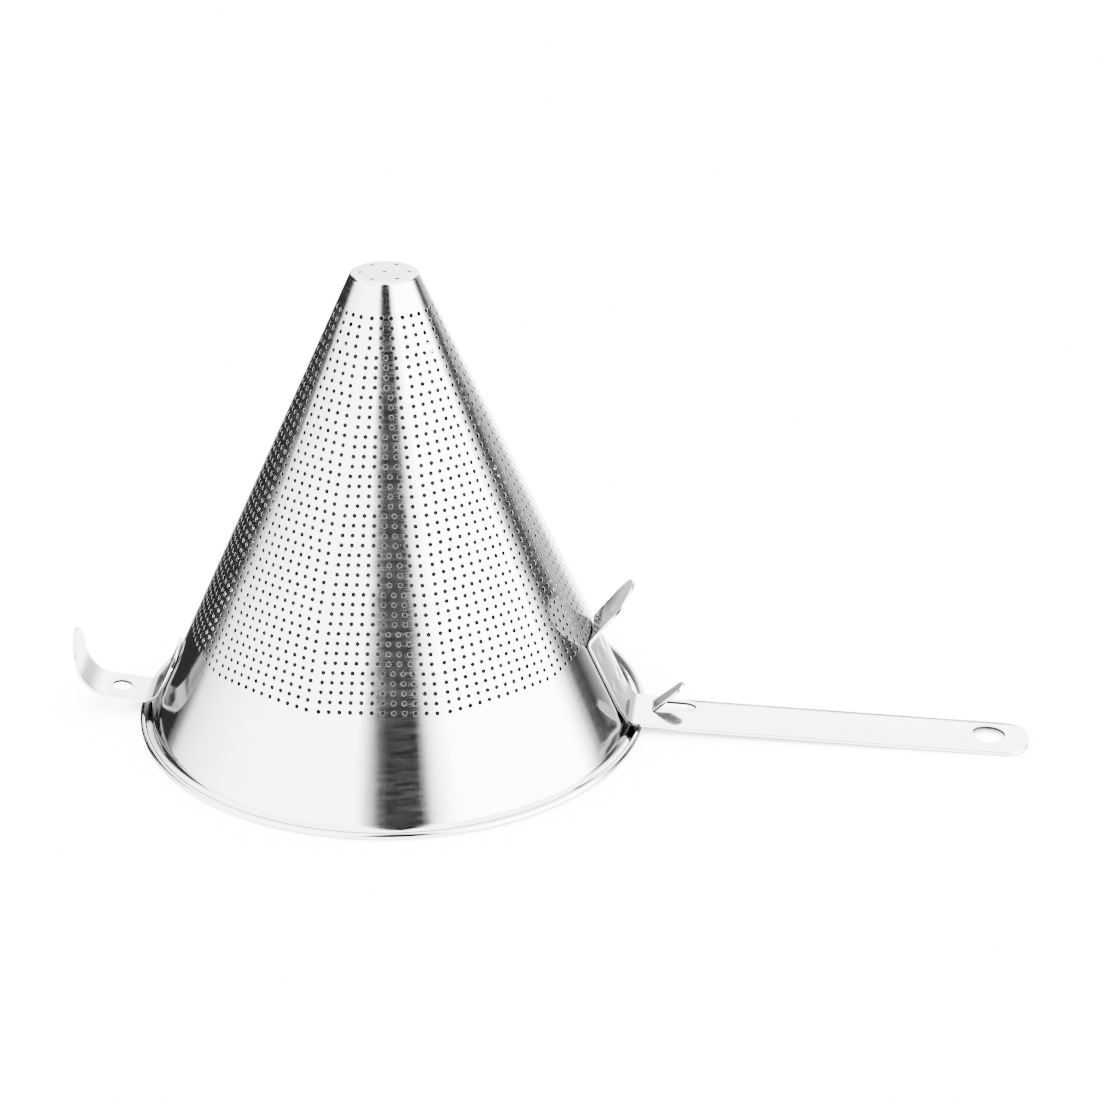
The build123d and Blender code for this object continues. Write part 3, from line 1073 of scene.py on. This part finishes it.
@dataclass(frozen=True)
class SatinSteel:
    """Stainless steel with fine grinding lines, as belts and brushes leave it.

    The lines run in one direction and are a few hundredths of a millimetre wide. They are
    drawn coarser here, so that they show, and they blur reflections across themselves.
    """

    name: str
    colour: str
    stain: str
    roughness: float
    line_spacing: float
    line_length: float
    line_height: float
    grain: Grain
    # Shares of the roughness in the smoothest and in the roughest line.
    smoothest: float = 0.6
    roughest: float = 1.4
    wave_size: float = 6 * MM
    wave_height: float = 0.0
    # Heights between which punching has left the sheet wavy and duller.
    worked_span: Point = (0.0, 1.0)
    worked_dulling: float = 0.0
    patch_size: float = 30 * MM
    # Where nearly all values of the lines' noise lie.
    noise_span: Point = (0.35, 0.65)

    def line_place(self, tree: NodeTree, place: NodeSocket) -> NodeSocket:
        """Stretch the pattern's space along the lines.

        Args:
            tree: The material's node tree.
            place: The object's own coordinates.

        Returns:
            The stretched place.
        """
        across, along = 1 / self.line_spacing, 1 / self.line_length
        scale = (along, across, across)
        if self.grain is Grain.ROUND:
            split = add_node(tree, "SeparateXYZ", links={"Vector": place})
            level = {"X": split["X"], "Y": split["Y"]}
            flat = add_node(tree, "CombineXYZ", links=level)["Vector"]
            radius = add_node(tree, "VectorMath", links={0: flat}, operation="LENGTH")
            links = {0: split["Z"], 1: radius["Value"]}
            rise = add_node(tree, "Math", links=links, operation="SUBTRACT")
            ring = add_node(tree, "CombineXYZ", links={**level, "Z": rise["Value"]})
            place, scale = ring["Vector"], (along, along, across)
        return add_node(tree, "Mapping", {"Scale": scale}, {"Vector": place})["Vector"]

    def worked(self, tree: NodeTree, place: NodeSocket) -> NodeSocket:
        """Tell where punching has left the sheet uneven.

        Args:
            tree: The material's node tree.
            place: The object's own coordinates.

        Returns:
            1 in the worked span of heights, and 0 outside.
        """
        height = add_node(tree, "SeparateXYZ", links={"Vector": place})["Z"]
        ends = {}
        for start, fade in zip(self.worked_span, (self.wave_size, -self.wave_size)):
            span = {"From Min": start, "From Max": start + fade}
            ends[len(ends)] = add_node(tree, "MapRange", span, {"Value": height})["Result"]
        return add_node(tree, "Math", links=ends, operation="MULTIPLY")["Value"]

    def relief(
        self, tree: NodeTree, place: NodeSocket, lines: NodeSocket, worked: NodeSocket
    ) -> NodeSocket:
        """Add up the heights of the lines and of the sheet's slow waves.

        Args:
            tree: The material's node tree.
            place: The object's own coordinates.
            lines: The pattern of the grinding lines.
            worked: Where punching has left the sheet uneven.

        Returns:
            The height in metres.
        """
        noise = {"Scale": 1 / self.wave_size, "Detail": 1.0}
        links = {0: add_node(tree, "TexNoise", noise, {"Vector": place})["Fac"]}
        for source, height in ((worked, self.wave_height), (lines, self.line_height)):
            scaled = add_node(tree, "Math", {1: height}, {0: source}, operation="MULTIPLY")
            links[len(links)] = scaled["Value"]
        return add_node(tree, "Math", links=links, operation="MULTIPLY_ADD")["Value"]

    def build(self) -> bpy.types.Material:
        """Make the material.

        Returns:
            The material, named for what it is.
        """
        material = bpy.data.materials.new(self.name)
        tree = empty_tree(material)
        place = add_node(tree, "TexCoord")["Object"]
        noise = {"Scale": 1.0, "Detail": 2.0, "Roughness": 0.5}
        stretched = {"Vector": self.line_place(tree, place)}
        lines = add_node(tree, "TexNoise", noise, stretched)["Fac"]
        noise = {"Scale": 1 / self.patch_size, "Detail": 3.0, "Roughness": 0.5}
        patches = add_node(tree, "TexNoise", noise, {"Vector": place})["Fac"]
        colours = {6: linear(self.colour), 7: linear(self.stain)}
        colour = add_node(tree, "Mix", colours, {0: patches}, data_type="RGBA")[2]
        span = {
            "From Min": self.noise_span[0],
            "From Max": self.noise_span[1],
            "To Min": self.roughness * self.smoothest,
            "To Max": self.roughness * self.roughest,
        }
        rough = add_node(tree, "MapRange", span, {"Value": lines})["Result"]
        worked = self.worked(tree, place)
        span = {"To Min": 1.0, "To Max": 1.0 + self.worked_dulling}
        duller = add_node(tree, "MapRange", span, {"Value": worked})["Result"]
        links = {0: rough, 1: duller}
        dulled = add_node(tree, "Math", links=links, operation="MULTIPLY")["Value"]
        height = {"Height": self.relief(tree, place, lines, worked)}
        bump = add_node(tree, "Bump", {"Strength": 1.0, "Distance": 1.0}, height)
        normal = bump["Normal"]
        steel_surface(tree, {"Base Color": colour, "Roughness": dulled, "Normal": normal})
        return material


@dataclass(frozen=True)
class DullSteel:
    """Steel that no belt has touched: frozen weld metal, or the torn wall of a cut and a hole's rolled
    lip, whose dark colours are painted shade.
    """

    name: str
    pale: str
    tinted: str
    grain: float = 0.8 * MM
    roughness: Point = (0.35, 0.6)

    def build(self) -> bpy.types.Material:
        """Make the material.

        Returns:
            The material, named for what it is.
        """
        material = bpy.data.materials.new(self.name)
        tree = empty_tree(material)
        place = add_node(tree, "TexCoord")["Object"]
        noise = {"Scale": 1 / self.grain, "Detail": 3.0}
        ripple = add_node(tree, "TexNoise", noise, {"Vector": place})["Fac"]
        colours = {6: linear(self.pale), 7: linear(self.tinted)}
        colour = add_node(tree, "Mix", colours, {0: ripple}, data_type="RGBA")[2]
        span = {"To Min": self.roughness[0], "To Max": self.roughness[1]}
        rough = add_node(tree, "MapRange", span, {"Value": ripple})["Result"]
        steel_surface(tree, {"Base Color": colour, "Roughness": rough})
        return material


@dataclass(frozen=True)
class Studio:
    """The pale floor, the soft light and the camera.

    A white tent stands round the object, with dark gaps between its panels that the steel
    reflects as dark bands. Azimuths are in degrees from the handle's direction, and heights
    are those of directions of length one. A pair is a middle and the half width about it, or
    where a fade starts and ends. All else than reflections sees the tent plain white.
    """

    brightness: float = 20.0
    # A reflection's own reflections, such as a plate's in the wall, are dimmed to this share.
    second_glance: float = 0.18
    clear_bounces: float = 2.5
    # How far the panels lean on the side away from the handle.
    left_tilt: float = 0.8
    # The dark edge of the table behind the object.
    skyline: float = 0.02
    skyline_azimuth: Point = (92.0, 18.0)
    skyline_height: Point = (0.11, 0.055)
    # The plain glow of the table in front, of the ground and of the ceiling with its gap.
    glow: float = 0.5
    table_azimuth: Point = (-80.0, 35.0)
    table_fade: Point = (-0.22, -0.35)
    ground_fade: Point = (-0.6, -0.75)
    ceiling_fade: Point = (0.52, 0.66)
    ceiling_gap: Point = (-78.0, 24.0)
    # Azimuths, and the tent's brightness at each as a share.
    panels: tuple[Point, ...] = (
        (-180.0, 0.38), (-168.0, 0.5), (-150.0, 0.6), (-101.0, 0.6), (-95.0, 0.15), (-89.0, 0.012),
        (-84.0, 0.001), (-69.0, 0.001), (-66.0, 0.03), (-60.0, 0.4), (-50.0, 1.0), (14.0, 1.0),
        (19.0, 0.5), (25.0, 0.1), (30.0, 0.01), (38.0, 0.004), (44.0, 0.02), (50.0, 0.05),
        (66.0, 0.09), (75.0, 0.4), (84.0, 0.58), (92.0, 0.5), (100.0, 0.25), (108.0, 0.17),
        (116.0, 0.15), (119.0, 0.03), (126.0, 0.003), (133.0, 0.002), (158.0, 0.002), (163.0, 0.03),
        (168.0, 0.22), (180.0, 0.38),
    )  # fmt: skip
    floor_size: float = 8.0
    floor_drop: float = 0.2 * MM
    matt: float = 0.9
    # A dark card inside the cone paints the shade there: its foot and tip radii, its height and its
    # middle.
    shade_card_foot: float = 101 * MM
    shade_card_tip: float = 12 * MM
    shade_card_height: float = 196 * MM
    shade_card_middle: float = 98.5 * MM
    lens: float = 78.11
    camera_place: tuple[float, float, float] = (0.17708, -0.98067, 0.56460)
    camera_aim: tuple[float, float, float] = (0.07320, 0.00769, 0.08230)
    camera_roll: float = 0.496

    def panel_light(self, tree: NodeTree, split: bpy_prop_collection, azimuth: NodeSocket) -> NodeSocket:
        """Lay the panels round the tent.

        Args:
            tree: The world's node tree.
            split: The direction's X, Y and Z.
            azimuth: The direction's azimuth, in radians.

        Returns:
            The brightness as a grey.
        """
        span = {"From Min": 0.0, "From Max": -1.0, "To Max": -self.left_tilt}
        lean = add_node(tree, "MapRange", span, {"Value": split["X"]})["Result"]
        links = {0: split["Z"], 1: lean, 2: azimuth}
        leaning = add_node(tree, "Math", links=links, operation="MULTIPLY_ADD")
        span = {"From Min": -math.pi, "From Max": math.pi}
        place = add_node(tree, "MapRange", span, {"Value": leaning["Value"]})
        ramp = add_node(tree, "ValToRGB", links={"Fac": place["Result"]})
        stops = ramp["Color"].node.color_ramp.elements
        while len(stops) < len(self.panels):
            stops.new(0.5)
        for stop, (angle, value) in zip(stops, self.panels):
            stop.position = (angle + 180) / 360
            stop.color = (value, value, value, 1)
        return ramp["Color"]

    def masks(self, tree: NodeTree, height: NodeSocket, azimuth: NodeSocket) -> dict[str, NodeSocket]:
        """Tell which directions the skyline and the plain glow fill: 1 inside and 0 outside.

        Args:
            tree: The world's node tree.
            height: The direction's height.
            azimuth: The direction's azimuth, in radians.

        Returns:
            The masks by name: skyline, plain and those that they are made from.
        """
        masks = {}
        for name, source, middle, half in (
            ("behind", azimuth, *map(math.radians, self.skyline_azimuth)),
            ("level", height, *self.skyline_height),
            ("front", azimuth, *map(math.radians, self.table_azimuth)),
            ("gap", azimuth, *map(math.radians, self.ceiling_gap)),
        ):
            window = {1: middle, 2: half}
            masks[name] = add_node(tree, "Math", window, {0: source}, operation="COMPARE")["Value"]
        for name, (start, end) in (
            ("below", self.table_fade),
            ("steep", self.ground_fade),
            ("overhead", self.ceiling_fade),
        ):
            span = {"From Min": start, "From Max": end}
            masks[name] = add_node(tree, "MapRange", span, {"Value": height})["Result"]
        for name, one, operation, other in (
            ("skyline", "behind", "MULTIPLY", "level"),
            ("table", "front", "MULTIPLY", "below"),
            ("ceiling", "overhead", "SUBTRACT", "gap"),
            ("upright", "steep", "MAXIMUM", "ceiling"),
            ("plain", "table", "MAXIMUM", "upright"),
        ):
            links = {0: masks[one], 1: masks[other]}
            made = add_node(tree, "Math", links=links, operation=operation, use_clamp=True)
            masks[name] = made["Value"]
        return masks

    def light(self) -> None:
        """Light the scene with the tent."""
        world = bpy.data.worlds.new("white tent")
        bpy.context.scene.world = world
        tree = empty_tree(world)
        direction = add_node(tree, "TexCoord")["Generated"]
        split = add_node(tree, "SeparateXYZ", links={"Vector": direction})
        links = {0: split["Y"], 1: split["X"]}
        azimuth = add_node(tree, "Math", links=links, operation="ARCTAN2")["Value"]
        colour = self.panel_light(tree, split, azimuth)
        masks = self.masks(tree, split["Z"], azimuth)
        for name, value in (("skyline", self.skyline), ("plain", self.glow)):
            links = {0: masks[name], 6: colour}
            fill = {7: (value, value, value, 1)}
            colour = add_node(tree, "Mix", fill, links, data_type="RGBA")[2]
        rays = add_node(tree, "LightPath")
        bounces, limit = {0: rays["Ray Depth"]}, {1: self.clear_bounces}
        later = add_node(tree, "Math", limit, bounces, operation="GREATER_THAN")
        span = {"To Min": self.brightness, "To Max": self.brightness * self.second_glance}
        strength = add_node(tree, "MapRange", span, {"Value": later["Value"]})
        links = {0: rays["Is Glossy Ray"], 7: colour}
        seen = add_node(tree, "Mix", {6: (1, 1, 1, 1)}, links, data_type="RGBA")
        links = {"Color": seen[2], "Strength": strength["Result"]}
        glow = add_node(tree, "Background", links=links)
        add_node(tree, "OutputWorld", links={"Surface": glow["Background"]})

    @staticmethod
    def cover(prop: Object, name: str, values: dict[str, object]) -> None:
        """Give a prop of the stage a finish of one colour.

        Args:
            prop: The floor or the card.
            name: What the finish is.
            values: Values for the shader's inputs, by name.
        """
        material = bpy.data.materials.new(name)
        material.use_nodes = True
        shader = material.node_tree.nodes["Principled BSDF"]
        for socket, value in values.items():
            shader.inputs[socket].default_value = value
        prop.data.materials.append(material)

    def floor(self) -> None:
        """Lay the plain pale floor that the rim rests on."""
        bpy.ops.object.select_all(action="DESELECT")
        bpy.ops.mesh.primitive_plane_add(size=self.floor_size, location=(0, 0, -self.floor_drop))
        floor = bpy.context.object
        floor.name = "floor"
        self.cover(floor, "white paper", {"Base Color": linear("#FAFAFA"), "Roughness": self.matt})
        floor.visible_glossy = False

    def card(self) -> None:
        """Roll a dark card inside the cone, a sheet of painted shade, so that its holes look dark."""
        bpy.ops.object.select_all(action="DESELECT")
        bpy.ops.mesh.primitive_cone_add(
            vertices=96,
            radius1=self.shade_card_foot,
            radius2=self.shade_card_tip,
            depth=self.shade_card_height,
            location=(0, 0, self.shade_card_middle),
        )
        card = bpy.context.object
        card.name = "rolled card of painted shade"
        values = {"Base Color": linear("#3C3C3C"), "Roughness": self.matt, "Specular IOR Level": 0.0}
        self.cover(card, "card of painted shade", values)

    def camera(self) -> None:
        """Set the camera at the photograph's angle."""
        data = bpy.data.cameras.new("camera")
        data.lens = self.lens
        camera = bpy.data.objects.new("camera", data)
        bpy.context.collection.objects.link(camera)
        camera.location = self.camera_place
        aim = Vector(self.camera_aim) - camera.location
        tilt = Quaternion((0, 0, 1), math.radians(self.camera_roll))
        camera.rotation_mode = "QUATERNION"
        camera.rotation_quaternion = aim.to_track_quat("-Z", "Y") @ tilt
        bpy.context.scene.camera = camera

    def build(self) -> None:
        """Set up the light, the floor, the card of painted shade and the camera."""
        self.light()
        self.floor()
        self.card()
        self.camera()


def dress(obj: Object, *materials: bpy.types.Material) -> None:
    """Give an object its materials and report it.

    Args:
        obj: The object.
        *materials: Those of the skin, of any sheared walls in painted shade and of any rolled lips dimmed
                    by painted shade.
    """
    marks = read(obj.data.polygons, "material_index", 1, int)
    obj.data.materials.clear()
    for material in materials:
        obj.data.materials.append(material)
    obj.data.polygons.foreach_set("material_index", np.minimum(marks, len(materials) - 1))
    obj.data.calc_loop_triangles()
    LOG.info("%s: %d triangles", obj.name, len(obj.data.loop_triangles))


def main() -> None:
    """Build the strainer and its stage in order."""
    logging.basicConfig(level=logging.INFO, format="%(message)s")
    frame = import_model()
    low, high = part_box(Part.CONE.value)
    rim_radius = (high.y - low.y) / 2
    wall = Wall(foot_radius=rim_radius - FLANGE_WIDTH, tip_radius=TIP_RADIUS, height=high.z)

    # Brushed in rings: clear bright and dark bands with soft edges and fine level streaks.
    sheet = SatinSteel(
        name="spun and brushed stainless sheet",
        colour="#D2D2D3",
        stain="#CBCBCC",
        roughness=0.06,
        line_spacing=0.6 * MM,
        line_length=14 * MM,
        line_height=0.02 * MM,
        grain=Grain.ROUND,
        smoothest=0.45,
        roughest=1.7,
        wave_size=9 * MM,
        wave_height=0.1 * MM,
        worked_span=(42 * MM, 208 * MM),
        worked_dulling=0.2,
    ).build()
    # Tumbled bright: a paler and softer sheen, with hardly a line to be seen.
    bright = SatinSteel(
        name="tumbled stainless strap",
        colour="#DADADB",
        stain="#D2D2D3",
        roughness=0.12,
        line_spacing=0.6 * MM,
        line_length=60 * MM,
        line_height=0.006 * MM,
        grain=Grain.ALONG,
    ).build()
    # Torn, rolled and sheared faces carry painted shade: dark dots in the bores, grey rings where it dims
    # the lips' sheen and a dark line along the straps' cut edges.
    shaded_bore = DullSteel(name="torn bores of the holes in painted shade", pale="#1C1B1B", tinted="#141313").build()
    lip = DullSteel(name="rolled lips of the holes, greyed with painted shade", pale="#A6A6A6", tinted="#8C8B8B").build()
    sheared = DullSteel(name="sheared strap edges in painted shade", pale="#262525", tinted="#1B1A1A").build()
    # Weld metal that froze in the seam: matt, with a straw tint.
    weld = DullSteel(name="frozen weld steel", pale="#A9A8A6", tinted="#8E8478").build()

    dress(StrainerCone(wall, rim_radius).build(), sheet, shaded_bore, lip)
    dress(HandleStrap(wall, rim_radius).build(), bright, sheared)
    dress(PotHook(wall, rim_radius).build(), bright, sheared)
    for part in (Part.HANDLE_WELDS, Part.HOOK_WELDS):
        node = frame["nodes"][part.value]
        dress(node, weld)

    Studio().build()


if __name__ == "__main__":
    main()
